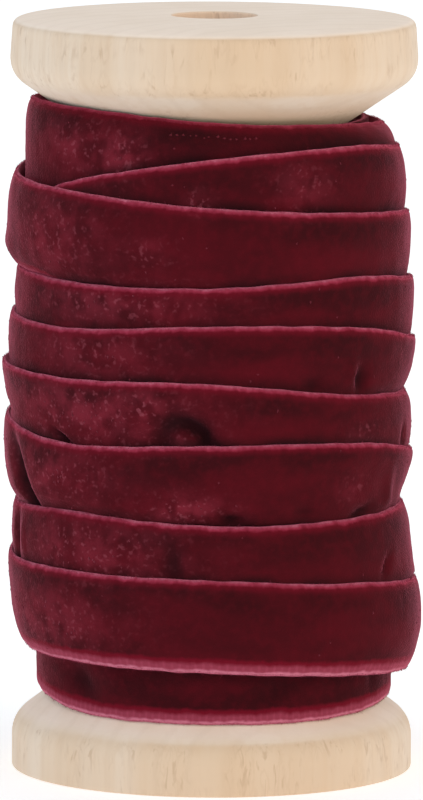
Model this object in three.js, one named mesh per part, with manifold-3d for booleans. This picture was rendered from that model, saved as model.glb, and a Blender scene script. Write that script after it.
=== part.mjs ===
// A roll of velvet ribbon on a turned wooden spool that stands on its end.
// Millimetres, +Z up. The origin is the centre of the spool's base, and the front faces -Y.

import * as THREE from 'three';
import { mergeVertices } from 'three/addons/utils/BufferGeometryUtils.js';
import Module from 'manifold-3d';

// The spool: flanges with bevelled inner faces, a barrel and a bore, all turned in one piece.
const SPOOL_HEIGHT = 83.6;
const BORE_RADIUS = 4.7;
const BARREL_RADIUS = 11;
const BASE_FLANGE = {
  rimRadius: 22.2, rimHeight: 5.35, bevelSlope: 0.75, edgeRounding: 0.3, shoulderRounding: 1.9,
};
const TOP_FLANGE = {
  rimRadius: 22.6, rimHeight: 6.4, bevelSlope: 0.68, edgeRounding: 0.5, shoulderRounding: 1.2,
  faceRadius: 22.3, flatRadius: 16, crown: 0.5,
};
const SPOOL_SEGMENTS = 64;
const ROUNDING_STEPS = 3;

// The ribbon, and the hidden inner turns that fill the space between the bevels.
const RIBBON_WIDTH = 10.1;
const CORE_RADIUS = 19.4;
const CORE_TOP = 71.5;
const CORE_BOTTOM = 10;
const CORE_GAP = 0.45;
const BED_RADIUS = 18;

// Where the heights and radii below are taken, in turns from the front, in the sense of the winding.
const PLACES = { left: -0.25, frontLeft: -0.125, front: 0, frontRight: 0.125, right: 0.25, back: 0.5 };

// Outer layer: the height of each turn's upper edge, from the top turn down to the last.
const OUTER_EDGES = [
  { left: 62.8, frontLeft: 66.9, front: 69.7, frontRight: 70.6, right: 69.6, back: 68.9 },
  { left: 66.8, frontLeft: 65.7, front: 64.5, frontRight: 63.4, right: 62.4, back: 59.0 },
  { left: 57.0, frontLeft: 55.7, front: 55.8, frontRight: 56.4, right: 54.9, back: 52.7 },
  { left: 50.8, frontLeft: 50.7, front: 51.7, frontRight: 50.9, right: 48.2, back: 46.6 },
  { left: 45.5, frontLeft: 45.3, front: 45.4, frontRight: 43.5, right: 42.5, back: 41.5 },
  { left: 40.2, frontLeft: 38.5, front: 38.7, frontRight: 38.2, right: 35.8, back: 33.2 },
  { left: 30.8, frontLeft: 30.6, front: 29.8, frontRight: 29.8, right: 30.1, back: 27.3 },
  { left: 24.4, frontLeft: 24.1, front: 23.9, frontRight: 23.0, right: 21.2, back: 20.2 },
];
// The radius of each turn just under its upper edge, and how far its middle swells or sinks from that.
const OUTER_LIPS = [
  { left: 21.4, front: 21.7, right: 21.0, back: 21.8 },
  { left: 22.6, front: 22.5, right: 21.8, back: 22.5 },
  { left: 21.9, front: 22.4, right: 22.3, back: 22.6 },
  { left: 22.7, front: 22.6, right: 22.3, back: 22.7 },
  { left: 23.6, front: 22.9, right: 22.0, back: 22.8 },
  { left: 23.4, front: 22.9, right: 22.2, back: 22.6 },
  { left: 22.5, front: 22.4, right: 21.5, back: 22.5 },
  { left: 22.8, front: 22.8, right: 23.2, back: 22.7 },
];
const OUTER_BELLIES = [
  { left: 0.0, front: 0.0, right: 0.2, back: 0.0 },
  { left: 0.7, front: 0.1, right: 0.1, back: -0.3 },
  { left: 0.1, front: -0.5, right: -0.3, back: -0.3 },
  { left: 0.1, front: -0.3, right: -0.8, back: -0.5 },
  { left: -0.7, front: -0.5, right: -0.4, back: -0.2 },
  { left: -0.4, front: -0.3, right: -1.1, back: -0.6 },
  { left: 0.0, front: 0.0, right: 0.5, back: 0.0 },
  { left: 0.1, front: 0.2, right: 0.4, back: 0.2 },
];
// How far each turn's lower edge is drawn in, mostly out of sight under the next turn.
const OUTER_TUCKS = [
  { left: 1.5, front: 1.8, right: 1.8, back: 1.8 },
  { left: 0.6, front: 2.0, right: 2.0, back: 2.0 },
  { left: 2.2, front: 2.2, right: 2.2, back: 2.2 },
  { left: 2.2, front: 2.2, right: 2.2, back: 2.2 },
  { left: 2.2, front: 2.2, right: 2.2, back: 2.2 },
  { left: 3.2, front: 2.6, right: 2.2, back: 2.2 },
  { left: 2.2, front: 1.6, right: -0.9, back: 1.6 },
  { left: 2.2, front: 1.7, right: 2.2, back: 2.2 },
];
const OUTER_EDGE_ROUNDING = 0.35;
const RIBBON_START = -0.3;
const RIBBON_END = 7.4;

// Inner layer: the turn that shows above the outer layer, and the one that shows below it.
const TOP_TURN_EDGE = { left: 74.6, frontLeft: 74.4, front: 73.8, frontRight: 73.3, right: 72.5, back: 73.5 };
const TOP_TURN_LIP = { left: 20.9, front: 20.5, right: 20.2, back: 20.5 };
const TOP_TURN_LEAN = { left: 0.8, front: 1.0, right: 2.1, back: 1.2 };
const TOP_TURN_BED_RADIUS = 14.5;
const BOTTOM_TURN_FOOT = { left: 9.1, frontLeft: 8.1, front: 7.8, frontRight: 8.0, right: 8.4, back: 8.6 };
const BOTTOM_TURN_LIP = { left: 19.6, front: 19.8, right: 19.9, back: 19.8 };
const BOTTOM_TURN_TUCK = 0.25;

const STEPS_PER_TURN = 40;
const STEPS_ACROSS = 6;
const EDGE_SHARPNESS = 8;
const TUCK_SHARPNESS = 4;
const WELD_DISTANCE = 1e-4;

const wood = new THREE.MeshStandardMaterial({ color: 0xe3cda8, roughness: 0.72, metalness: 0 });
const velvet = new THREE.MeshStandardMaterial({ color: 0x4a0f18, roughness: 0.95, metalness: 0 });

const wasm = await Module();
wasm.setup();

function solidFrom(geometry) {
  geometry.deleteAttribute('normal');
  geometry.deleteAttribute('uv');
  const welded = mergeVertices(geometry, WELD_DISTANCE);
  const vertProperties = new Float32Array(welded.attributes.position.array);
  const triVerts = new Uint32Array(welded.index.array);
  return new wasm.Manifold(new wasm.Mesh({ numProp: 3, vertProperties, triVerts }));
}

function geometryFrom(solid) {
  const mesh = solid.getMesh();
  const geometry = new THREE.BufferGeometry();
  geometry.setAttribute('position', new THREE.BufferAttribute(mesh.vertProperties, 3));
  geometry.setIndex(new THREE.BufferAttribute(mesh.triVerts, 1));
  geometry.computeVertexNormals();
  return geometry;
}

// A closed outline in radius and height, with some of its corners rounded, turned about the upright axis.
function turned(corners, segments) {
  const points = corners.map(({ radius, height }) => new THREE.Vector2(radius, height));
  const outline = new THREE.Path();
  corners.forEach(({ rounding = 0 }, i) => {
    const corner = points[i];
    const toBefore = points.at(i - 1).clone().sub(corner).setLength(rounding);
    const toAfter = points[(i + 1) % points.length].clone().sub(corner).setLength(rounding);
    const start = corner.clone().add(toBefore);
    const end = corner.clone().add(toAfter);
    if (i === 0) {
      outline.moveTo(start.x, start.y);
    } else {
      outline.lineTo(start.x, start.y);
    }
    if (rounding > 0) {
      outline.quadraticCurveTo(corner.x, corner.y, end.x, end.y);
    }
  });
  outline.closePath();
  const geometry = new THREE.LatheGeometry(outline.getPoints(ROUNDING_STEPS), segments);
  geometry.rotateX(Math.PI / 2);
  return geometry;
}

// Each flange's bevel, as a height at a given radius and the other way round.
function baseBevel(radius) {
  return BASE_FLANGE.rimHeight + (BASE_FLANGE.rimRadius - radius) * BASE_FLANGE.bevelSlope;
}

function baseBevelRadius(height) {
  return BASE_FLANGE.rimRadius - (height - BASE_FLANGE.rimHeight) / BASE_FLANGE.bevelSlope;
}

function topBevel(radius) {
  return SPOOL_HEIGHT - TOP_FLANGE.rimHeight - (TOP_FLANGE.rimRadius - radius) * TOP_FLANGE.bevelSlope;
}

function topBevelRadius(height) {
  return TOP_FLANGE.rimRadius - (SPOOL_HEIGHT - TOP_FLANGE.rimHeight - height) / TOP_FLANGE.bevelSlope;
}

function spoolGeometry() {
  const base = BASE_FLANGE;
  const top = TOP_FLANGE;
  return turned([
    { radius: BORE_RADIUS, height: 0 },
    { radius: base.rimRadius, height: 0, rounding: base.edgeRounding },
    { radius: base.rimRadius, height: base.rimHeight, rounding: base.shoulderRounding },
    { radius: BARREL_RADIUS, height: baseBevel(BARREL_RADIUS) },
    { radius: BARREL_RADIUS, height: topBevel(BARREL_RADIUS) },
    { radius: top.rimRadius, height: SPOOL_HEIGHT - top.rimHeight, rounding: top.shoulderRounding },
    { radius: top.faceRadius, height: SPOOL_HEIGHT - top.crown, rounding: top.edgeRounding },
    { radius: top.flatRadius, height: SPOOL_HEIGHT },
    { radius: BORE_RADIUS, height: SPOOL_HEIGHT },
  ], SPOOL_SEGMENTS);
}

// The hidden inner turns: a ring round the barrel that follows the bevels a little way off.
function coreSolid() {
  const inside = BARREL_RADIUS + CORE_GAP;
  const head = topBevelRadius(CORE_TOP + CORE_GAP);
  return solidFrom(turned([
    { radius: inside, height: baseBevel(inside) + CORE_GAP },
    { radius: baseBevelRadius(CORE_BOTTOM - CORE_GAP), height: CORE_BOTTOM },
    { radius: CORE_RADIUS, height: CORE_BOTTOM },
    { radius: CORE_RADIUS, height: CORE_TOP - (CORE_RADIUS - head) },
    { radius: head, height: CORE_TOP },
    { radius: inside, height: topBevel(inside) - CORE_GAP },
  ], STEPS_PER_TURN));
}

// A smooth value along the ribbon's run, from a table with a row for each turn.
function alongTurns(rows) {
  const turns = [];
  const values = [];
  rows.forEach((row, turn) => {
    for (const [place, value] of Object.entries(row)) {
      turns.push(turn + PLACES[place]);
      values.push(value);
    }
  });
  const curve = new THREE.CubicInterpolant(turns, values, 1);
  return (turn) => curve.evaluate(turn)[0];
}

// The same for one turn that closes on itself.
function aroundOnce(row) {
  const value = alongTurns([row, row, row]);
  return (turn) => value(1 + turn % 1);
}

// The ribbon's outer side: across runs from 0 at the upper edge to 1 at the lower edge.
function bandRadius(band, turn, across) {
  const lip = band.lip(turn) + band.belly(turn) * Math.sin(Math.PI * across);
  return lip - band.lean(turn) * (1 - across) ** EDGE_SHARPNESS - band.tuck(turn) * across ** TUCK_SHARPNESS;
}

// A stretch of wound ribbon with what fills the space behind it, as a box bent round the spool.
function woundStretch(band, firstStep, lastStep) {
  const steps = lastStep - firstStep;
  const geometry = new THREE.BoxGeometry(1, 1, 1, steps, STEPS_ACROSS, 1);
  const points = geometry.attributes.position;
  for (let i = 0; i < points.count; i++) {
    const step = firstStep + Math.round((points.getX(i) + 0.5) * steps);
    const turn = step / STEPS_PER_TURN;
    const angle = (turn % 1) * 2 * Math.PI;
    const across = (1 - Math.sin(points.getY(i) * Math.PI)) / 2;
    const outer = bandRadius(band, turn, across);
    const depth = points.getZ(i) > 0 ? 0 : outer - band.bedRadius;
    const radius = outer - depth;
    const drawnIn = depth * (band.headSlope * (1 - across) - band.footSlope * across);
    const height = band.edge(turn) - across * RIBBON_WIDTH - drawnIn;
    points.setXYZ(i, radius * Math.sin(angle), -radius * Math.cos(angle), height);
  }
  return solidFrom(geometry);
}

// A whole run is joined from half turns that overlap by a step, because a turn overlaps the one before it.
function woundRun(band, start, end) {
  const lastStep = Math.round(end * STEPS_PER_TURN);
  const halfTurn = STEPS_PER_TURN / 2;
  let run = null;
  for (let step = Math.round(start * STEPS_PER_TURN); step < lastStep; step += halfTurn) {
    const stretch = woundStretch(band, step, Math.min(step + halfTurn + 1, lastStep));
    run = run ? run.add(stretch) : stretch;
  }
  return run;
}

function windingGeometry() {
  const outerLayer = {
    edge: alongTurns(OUTER_EDGES),
    lip: alongTurns(OUTER_LIPS),
    belly: alongTurns(OUTER_BELLIES),
    tuck: alongTurns(OUTER_TUCKS),
    lean: () => OUTER_EDGE_ROUNDING,
    bedRadius: BED_RADIUS,
    headSlope: 0,
    footSlope: 0,
  };
  const topTurn = {
    edge: aroundOnce(TOP_TURN_EDGE),
    lip: aroundOnce(TOP_TURN_LIP),
    belly: () => 0,
    tuck: () => 0,
    lean: aroundOnce(TOP_TURN_LEAN),
    bedRadius: TOP_TURN_BED_RADIUS,
    headSlope: TOP_FLANGE.bevelSlope,
    footSlope: 0,
  };
  const foot = aroundOnce(BOTTOM_TURN_FOOT);
  const bottomTurn = {
    edge: (turn) => foot(turn) + RIBBON_WIDTH,
    lip: aroundOnce(BOTTOM_TURN_LIP),
    belly: () => 0,
    tuck: () => BOTTOM_TURN_TUCK,
    lean: () => 0,
    bedRadius: BED_RADIUS,
    headSlope: 0,
    footSlope: BASE_FLANGE.bevelSlope,
  };
  const onceRound = 1 + 1 / STEPS_PER_TURN;
  return geometryFrom(coreSolid()
    .add(woundRun(topTurn, 0, onceRound))
    .add(woundRun(bottomTurn, 0, onceRound))
    .add(woundRun(outerLayer, RIBBON_START, RIBBON_END)));
}

function piece(name, geometry, material) {
  const mesh = new THREE.Mesh(geometry, material);
  mesh.name = name;
  return mesh;
}

const roll = new THREE.Group();
roll.add(piece('wooden_spool', spoolGeometry(), wood));
roll.add(piece('ribbon_winding', windingGeometry(), velvet));

export default roll;
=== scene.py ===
import math
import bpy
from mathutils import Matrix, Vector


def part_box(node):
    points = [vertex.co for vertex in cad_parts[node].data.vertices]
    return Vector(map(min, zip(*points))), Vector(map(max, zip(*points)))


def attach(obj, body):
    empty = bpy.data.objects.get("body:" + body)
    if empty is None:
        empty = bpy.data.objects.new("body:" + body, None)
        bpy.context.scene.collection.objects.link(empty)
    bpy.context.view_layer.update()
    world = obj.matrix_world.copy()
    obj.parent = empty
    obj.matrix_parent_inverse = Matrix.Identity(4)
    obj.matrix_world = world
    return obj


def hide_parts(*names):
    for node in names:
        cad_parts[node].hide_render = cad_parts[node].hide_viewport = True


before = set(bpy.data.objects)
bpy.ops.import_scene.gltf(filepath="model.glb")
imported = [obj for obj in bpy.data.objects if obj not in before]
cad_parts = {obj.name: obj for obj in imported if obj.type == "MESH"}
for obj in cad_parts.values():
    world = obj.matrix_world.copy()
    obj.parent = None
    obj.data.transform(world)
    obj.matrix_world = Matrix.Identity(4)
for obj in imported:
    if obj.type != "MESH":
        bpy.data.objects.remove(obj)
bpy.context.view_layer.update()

from types import SimpleNamespace

import bpy
import numpy as np
from mathutils import Matrix, Vector, noise


# The camera looks at the roll from a metre away, a little above its middle, through a long lens.
# The picture is 423 by 800 pixels, so the lens follows from the scale along the taller side.
PICTURE_HEIGHT_PX = 800
PIXELS_PER_METRE = 9031
SENSOR_MM = 36
CAMERA_DISTANCE = 1.0
CAMERA_ELEVATION = math.radians(7.48)
CAMERA_ROLL = math.radians(0.25)
CAMERA_AIM = Vector((-0.00015, 0, 0.0408))


def placed(name, data):
    """Puts an object that shows this mesh, light or camera in the scene."""
    made = bpy.data.objects.new(name, data)
    bpy.context.scene.collection.objects.link(made)
    return made


camera_data = bpy.data.cameras.new("camera")
camera_data.sensor_width = SENSOR_MM
camera_data.lens = SENSOR_MM * PIXELS_PER_METRE * CAMERA_DISTANCE / PICTURE_HEIGHT_PX
camera = placed("camera", camera_data)
toward_camera = Vector((0, -math.cos(CAMERA_ELEVATION), math.sin(CAMERA_ELEVATION)))
camera.location = CAMERA_AIM + toward_camera * CAMERA_DISTANCE
tilt = Matrix.Rotation(math.pi / 2 - CAMERA_ELEVATION, 3, "X")
camera.rotation_euler = (tilt @ Matrix.Rotation(CAMERA_ROLL, 3, "Z")).to_euler()
bpy.context.scene.camera = camera


# The table top is a broad, matt, nearly white board that the roll stands on, with a faint glow of its own.
# It is in a bright white room, with a soft warm lamp on the right and a soft cool one, lower, on the left.
TABLE_HALF_WIDTH = 4.0
TABLE_COLOUR = (0.97, 0.97, 0.97, 1)
TABLE_ROUGHNESS = 0.8
TABLE_GLOW = 0.32
ROOM_LIGHT = (0.945, 0.975, 1.0, 1)
ROOM_STRENGTH = 0.80
LAMP_AIM = Vector((0, 0, 0.042))
LAMP_SIZE = 0.7
LAMP_WATTS = 3.6
LAMPS = (
    {"name": "warm_lamp", "place": (0.95, -0.75, 0.40), "colour": (1.0, 0.85, 0.66)},
    {"name": "cool_lamp", "place": (-0.95, -0.65, 0.12), "colour": (0.58, 0.78, 1.0)},
)


def feed(tree, socket, value):
    """Sets an input socket to a value, or links it where the value is another node's socket."""
    if isinstance(value, bpy.types.NodeSocket):
        tree.links.new(value, socket)
    else:
        socket.default_value = value


def node(tree, kind, inputs=None, **settings):
    """Adds a shader node with its settings, and feeds its inputs, which are given by name or number."""
    made = tree.nodes.new("ShaderNode" + kind)
    for name, value in settings.items():
        setattr(made, name, value)
    for key, value in (inputs or {}).items():
        feed(tree, made.inputs[key], value)
    return made


def surface(name, inputs):
    """A new material with one Principled shader. Returns the material, its node tree and the shader."""
    material = bpy.data.materials.new(name)
    material.use_nodes = True
    tree = material.node_tree
    tree.nodes.clear()
    shader = node(tree, "BsdfPrincipled", inputs)
    node(tree, "OutputMaterial", {"Surface": shader.outputs["BSDF"]})
    return material, tree, shader


table_mesh = bpy.data.meshes.new("table_top")
table_mesh.from_pydata(
    [(x, y, 0) for x, y in ((-1, -1), (1, -1), (1, 1), (-1, 1))], [], [(0, 1, 2, 3)]
)
table_mesh.transform(Matrix.Scale(TABLE_HALF_WIDTH, 4))
table_paint, _, _ = surface("table_paint", {
    "Base Color": TABLE_COLOUR,
    "Roughness": TABLE_ROUGHNESS,
    "Emission Color": TABLE_COLOUR,
    "Emission Strength": TABLE_GLOW,
})
table_mesh.materials.append(table_paint)
placed("table_top", table_mesh)

room = bpy.data.worlds.new("room")
room.use_nodes = True
room_glow = room.node_tree.nodes["Background"]
room_glow.inputs["Color"].default_value = ROOM_LIGHT
room_glow.inputs["Strength"].default_value = ROOM_STRENGTH
bpy.context.scene.world = room
bpy.context.scene.view_settings.view_transform = "Standard"

for row in LAMPS:
    lamp_data = bpy.data.lights.new(row["name"], "AREA")
    lamp_data.size = LAMP_SIZE
    lamp_data.energy = LAMP_WATTS
    lamp_data.color = row["colour"]
    lamp = placed(row["name"], lamp_data)
    lamp.location = row["place"]
    lamp.rotation_euler = (LAMP_AIM - lamp.location).to_track_quat("-Z", "Y").to_euler()


# The spool is one turning of pale, close-grained wood with a flange at each end and a bore right through.
# It is left bare, sanded smooth. Its grain runs along the axis, so lines and flecks stand upright on the
# rims, and the flat ends show cut end grain.
MM = 0.001
spool_low, spool_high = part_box("wooden_spool")
SPOOL_HEIGHT = (spool_high.z - spool_low.z) / MM
BORE_RADIUS = 4.7
BORE_CHAMFER = 0.3
# Faces within this radius whose normals rise less than this are the bore's wall, which has its own wood.
BORE_REACH = 5.5
BORE_RISE = 0.5
BORE_SLOT = 1
BARREL_RADIUS = 11
BASE_RIM = {"radius": 22.2, "height": 5.35, "bevel_slope": 0.75, "edge": 0.3, "shoulder": 1.9}
TOP_RIM = {"radius": 22.6, "height": 6.4, "bevel_slope": 0.68, "edge": 0.8, "shoulder": 2.0}
TOP_FACE = {"radius": 22.2, "inset": 2, "flat_radius": 14, "crown": 0.5, "rings": 6}
SPOOL_SEGMENTS = 256
ROUNDING_STEPS = 8
# How far past a rounded corner the flat beside it gets one more ring of points, so that it shades flat.
SUPPORT = 0.12
GRAIN_COLOURS = ("Pale", "Tan", "Fleck")
SIDE_GRAIN = {
    "pale": (0.73, 0.585, 0.450, 1),
    "tan": (0.66, 0.460, 0.290, 1),
    "fleck": (0.46, 0.290, 0.170, 1),
}
# End grain, paler where a face looks up: partly its own tone, partly painted light from above.
END_GRAIN_AND_TOP_LIGHT = {
    "pale": (0.93, 0.780, 0.655, 1),
    "tan": (0.87, 0.715, 0.580, 1),
    "fleck": (0.56, 0.420, 0.315, 1),
}
BORE_GRAIN = {
    "pale": (0.96, 0.755, 0.595, 1),
    "tan": (0.86, 0.640, 0.465, 1),
    "fleck": (0.40, 0.250, 0.160, 1),
}
# How level a face is where end grain starts to show and shows in full. One that looks down counts for less.
END_GRAIN_AND_LIGHT_RAMP = (0.50, 0.96)
# A face that looks down is painted darker, more like side grain, to offset the table's glow from below.
UNDERSIDE_SHADED_SHARE = 0.8
# How far end grain has come in where the marks of the sides end, and where those are full.
SIDE_MARKS = (0.25, 0.0)
# The marks in the wood: size in mm, scale along the axis, which is under 1 for long marks, how fine and how
# bent they are, the noise values between which they come in, and how strongly they tint the wood.
BROAD_TONE = {"size": 6.0, "stretch": 0.06, "detail": 2.0, "bend": 0.0, "ramp": (0.35, 0.68), "tint": 0.5}
FINE_LINES = {"size": 0.8, "stretch": 0.06, "detail": 3.0, "bend": 0.0, "ramp": (0.42, 0.72), "tint": 0.25}
GROWTH_RINGS = {"size": 3.1, "stretch": 0.06, "detail": 2.0, "bend": 3.0, "ramp": (0.70, 1.0), "tint": 0.07}
TORN_MARKS = {"size": 0.9, "stretch": 0.22, "detail": 2.0, "bend": 0.4, "ramp": (0.075, 0.0), "tint": 0.13}
FLECKS = {"size": 0.65, "stretch": 0.28, "detail": 2.0, "bend": 0.6, "ramp": (0.55, 0.72), "tint": 0.46}
MARKED_PATCHES = {"size": 4.0, "stretch": 1, "detail": 2.0, "bend": 0.0, "ramp": (0.38, 0.60)}
# How the growth rings are shifted, in metres, so that the heart of the tree lies outside the spool.
RING_SHIFT = (-0.031, 0.052, 0)
# Torn marks lie where their noise crosses its middle value.
NOISE_MIDDLE = 0.5
# The wave texture goes through this many radians in a unit of scaled length.
WAVE_RADIANS = 20
# The broad tan figure where growth rings lie flat along the face: how far right its middle is, where it is
# full and where it ends, in metres from the middle, and how strong it is.
FIGURE = {"middle": 0.003, "full": 0.004, "end": 0.019, "tint": 0.60}
WOOD_ROUGHNESS = 0.58
WOOD_SHINE = 0.45
WOOD_BUMP = {"strength": 0.15, "depth": 0.05}
# The numbers of a Mix node's sockets for colours: its share, its two colours and its result.
MIX_SHARE, MIX_FIRST, MIX_SECOND = 0, 6, 7
MIX_RESULT = 2


def rounded_outline(corners):
    """Points of a closed turned outline. A corner is a radius, a height and the reach of its rounding."""
    places = [Vector(corner[:2]) for corner in corners]
    points = []
    for i, (_, _, reach) in enumerate(corners):
        corner = places[i]
        if reach == 0:
            points.append(corner)
            continue
        before = (places[i - 1] - corner).normalized()
        after = (places[(i + 1) % len(places)] - corner).normalized()
        points.append(corner + before * (reach + SUPPORT))
        for step in range(ROUNDING_STEPS + 1):
            share = step / ROUNDING_STEPS
            points.append(corner + before * (reach * (1 - share) ** 2) + after * (reach * share ** 2))
        points.append(corner + after * (reach + SUPPORT))
    return points


def round_spool(turn, radius, height):
    """Points in millimetres at a turn, a radius and a height."""
    angle = turn * 2 * math.pi
    shape = np.broadcast(turn, radius, height).shape
    return np.stack([
        np.broadcast_to(radius * np.sin(angle), shape),
        np.broadcast_to(-radius * np.cos(angle), shape),
        np.broadcast_to(height, shape),
    ], axis=-1)


def mesh_of(name, points, faces):
    """A mesh of points in millimetres and of faces, which are given by the numbers of their corners."""
    mesh = bpy.data.meshes.new(name)
    mesh.from_pydata((points * MM).reshape(-1, 3).tolist(), [], faces)
    return mesh


def turned_mesh(name, outline, segments):
    """A closed mesh of an outline in radius and height, in millimetres, turned about the upright axis."""
    turn = np.linspace(0, 1, segments, endpoint=False)[:, None]
    count = len(outline)
    faces = []
    for ring in range(segments):
        here, beyond = ring * count, (ring + 1) % segments * count
        for i in range(count):
            after = (i + 1) % count
            faces.append((here + i, beyond + i, beyond + after, here + after))
    mesh = mesh_of(name, round_spool(turn, *np.array(outline).T), faces)
    mesh.shade_smooth()
    return mesh


def mixed(tree, share, first, second):
    """A colour that goes from the first to the second by a share."""
    inputs = {MIX_SHARE: share, MIX_FIRST: first, MIX_SECOND: second}
    return node(tree, "Mix", inputs, data_type="RGBA").outputs[MIX_RESULT]


def ramped(tree, value, low, high):
    """A value that goes smoothly from 0 at low to 1 at high."""
    inputs = {"Value": value, "From Min": low, "From Max": high}
    return node(tree, "MapRange", inputs, interpolation_type="SMOOTHSTEP").outputs["Result"]


def times(tree, first, second):
    """The product of two values."""
    return node(tree, "Math", {0: first, 1: second}, operation="MULTIPLY").outputs["Value"]


def off(tree, value, middle):
    """How far a value is from a middle one, either way."""
    made = node(tree, "Math", {0: value, 1: middle}, operation="SUBTRACT")
    return node(tree, "Math", {0: made.outputs["Value"]}, operation="ABSOLUTE").outputs["Value"]


def speckle(tree, where, marks):
    """A noise value with marks of this size, detail and bend."""
    return node(tree, "TexNoise", {
        "Vector": where,
        "Scale": 1 / (marks["size"] * MM),
        "Detail": marks["detail"],
        "Distortion": marks["bend"],
    }).outputs["Fac"]


def group_of(name, colours, values):
    """A node group that makes a colour and a height. Returns its tree, its inputs and its outputs."""
    tree = bpy.data.node_groups.new(name, "ShaderNodeTree")
    for way, kind, sockets in (
        ("INPUT", "Color", colours),
        ("INPUT", "Float", values),
        ("OUTPUT", "Color", ("Colour",)),
        ("OUTPUT", "Float", ("Height",)),
    ):
        for socket in sockets:
            tree.interface.new_socket(socket, in_out=way, socket_type="NodeSocket" + kind)
    return tree, tree.nodes.new("NodeGroupInput").outputs, tree.nodes.new("NodeGroupOutput").inputs


def bumped(tree, height, bump):
    """A normal that follows the ups and downs of a height."""
    inputs = {"Height": height, "Strength": bump["strength"], "Distance": bump["depth"] * MM}
    return node(tree, "Bump", inputs).outputs["Normal"]


def measured(tree, name):
    """A number that the mesh keeps for each of its points."""
    return node(tree, "Attribute", attribute_name=name).outputs["Fac"]


def keep(mesh, name, values):
    """Keeps a number for each point of a mesh, for its material to read."""
    mesh.attributes.new(name, "FLOAT", "POINT").data.foreach_set("value", np.ravel(values))


def wood_grain_group():
    """Grain and growth rings along the spool's axis, with torn marks and flecks on its sides."""
    tree, given, result = group_of("wood_grain", GRAIN_COLOURS, ("Cut_and_light",))
    place = node(tree, "TexCoord").outputs["Object"]

    def drawn_out(marks, shift=(0, 0, 0)):
        inputs = {"Vector": place, "Location": shift, "Scale": (1, 1, marks["stretch"])}
        return node(tree, "Mapping", inputs).outputs["Vector"]

    def noise_of(marks):
        return speckle(tree, drawn_out(marks), marks)

    lines = ramped(tree, noise_of(FINE_LINES), *FINE_LINES["ramp"])
    ring_inputs = {
        "Vector": drawn_out(GROWTH_RINGS, RING_SHIFT),
        "Scale": 2 * math.pi / (WAVE_RADIANS * GROWTH_RINGS["size"] * MM),
        "Distortion": GROWTH_RINGS["bend"],
        "Detail": GROWTH_RINGS["detail"],
    }
    rings = node(tree, "TexWave", ring_inputs, wave_type="RINGS", rings_direction="Z").outputs["Fac"]
    on_side = ramped(tree, given["Cut_and_light"], *SIDE_MARKS)
    sideways = node(tree, "SeparateXYZ", {"Vector": place}).outputs["X"]
    figure = ramped(tree, off(tree, sideways, FIGURE["middle"]), FIGURE["end"], FIGURE["full"])
    patches = times(tree, ramped(tree, noise_of(MARKED_PATCHES), *MARKED_PATCHES["ramp"]), on_side)
    torn = ramped(tree, off(tree, noise_of(TORN_MARKS), NOISE_MIDDLE), *TORN_MARKS["ramp"])
    flecks = ramped(tree, noise_of(FLECKS), *FLECKS["ramp"])
    tone = given["Pale"]
    for share, tint, colour in (
        (ramped(tree, noise_of(BROAD_TONE), *BROAD_TONE["ramp"]), BROAD_TONE["tint"], "Tan"),
        (lines, FINE_LINES["tint"], "Tan"),
        (times(tree, figure, on_side), FIGURE["tint"], "Tan"),
        (ramped(tree, rings, *GROWTH_RINGS["ramp"]), GROWTH_RINGS["tint"], "Fleck"),
        (times(tree, torn, patches), TORN_MARKS["tint"], "Fleck"),
        (times(tree, flecks, patches), FLECKS["tint"], "Fleck"),
    ):
        tone = mixed(tree, times(tree, share, tint), tone, given[colour])
    tree.links.new(tone, result["Colour"])
    tree.links.new(lines, result["Height"])
    return tree


def wood(name, along, across):
    """Bare sanded wood: one set of colours along the grain, another, partly painted light, where it is cut
    across.
    """
    material, tree, shader = surface(name, {"Roughness": WOOD_ROUGHNESS, "Specular IOR Level": WOOD_SHINE})
    # Painted light: the paler end grain comes in as a face looks up.
    end_grain_and_light = ramped(tree, measured(tree, "level"), *END_GRAIN_AND_LIGHT_RAMP)
    inputs = {"Cut_and_light": end_grain_and_light}
    for colour in GRAIN_COLOURS:
        inputs[colour] = mixed(tree, end_grain_and_light, along[colour.lower()], across[colour.lower()])
    grain = node(tree, "Group", inputs, node_tree=wood_grain).outputs
    tree.links.new(grain["Colour"], shader.inputs["Base Color"])
    tree.links.new(bumped(tree, grain["Height"], WOOD_BUMP), shader.inputs["Normal"])
    return material


def base_bevel(radius):
    """Height of the lower flange's bevel at a radius."""
    return BASE_RIM["height"] + (BASE_RIM["radius"] - radius) * BASE_RIM["bevel_slope"]


def top_bevel(radius):
    """Height of the upper flange's bevel at a radius."""
    return SPOOL_HEIGHT - TOP_RIM["height"] - (TOP_RIM["radius"] - radius) * TOP_RIM["bevel_slope"]


def crowned_face():
    """The upper end from its edge inwards: a low crown that is flat round the bore."""
    outermost = TOP_FACE["radius"] - TOP_FACE["inset"]
    radii = np.linspace(outermost, TOP_FACE["flat_radius"], TOP_FACE["rings"])
    reach = TOP_FACE["radius"] - TOP_FACE["flat_radius"]
    fall = TOP_FACE["crown"] * ((radii - TOP_FACE["flat_radius"]) / reach) ** 2
    return [(radius, SPOOL_HEIGHT - drop, 0) for radius, drop in zip(radii, fall)]


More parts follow.
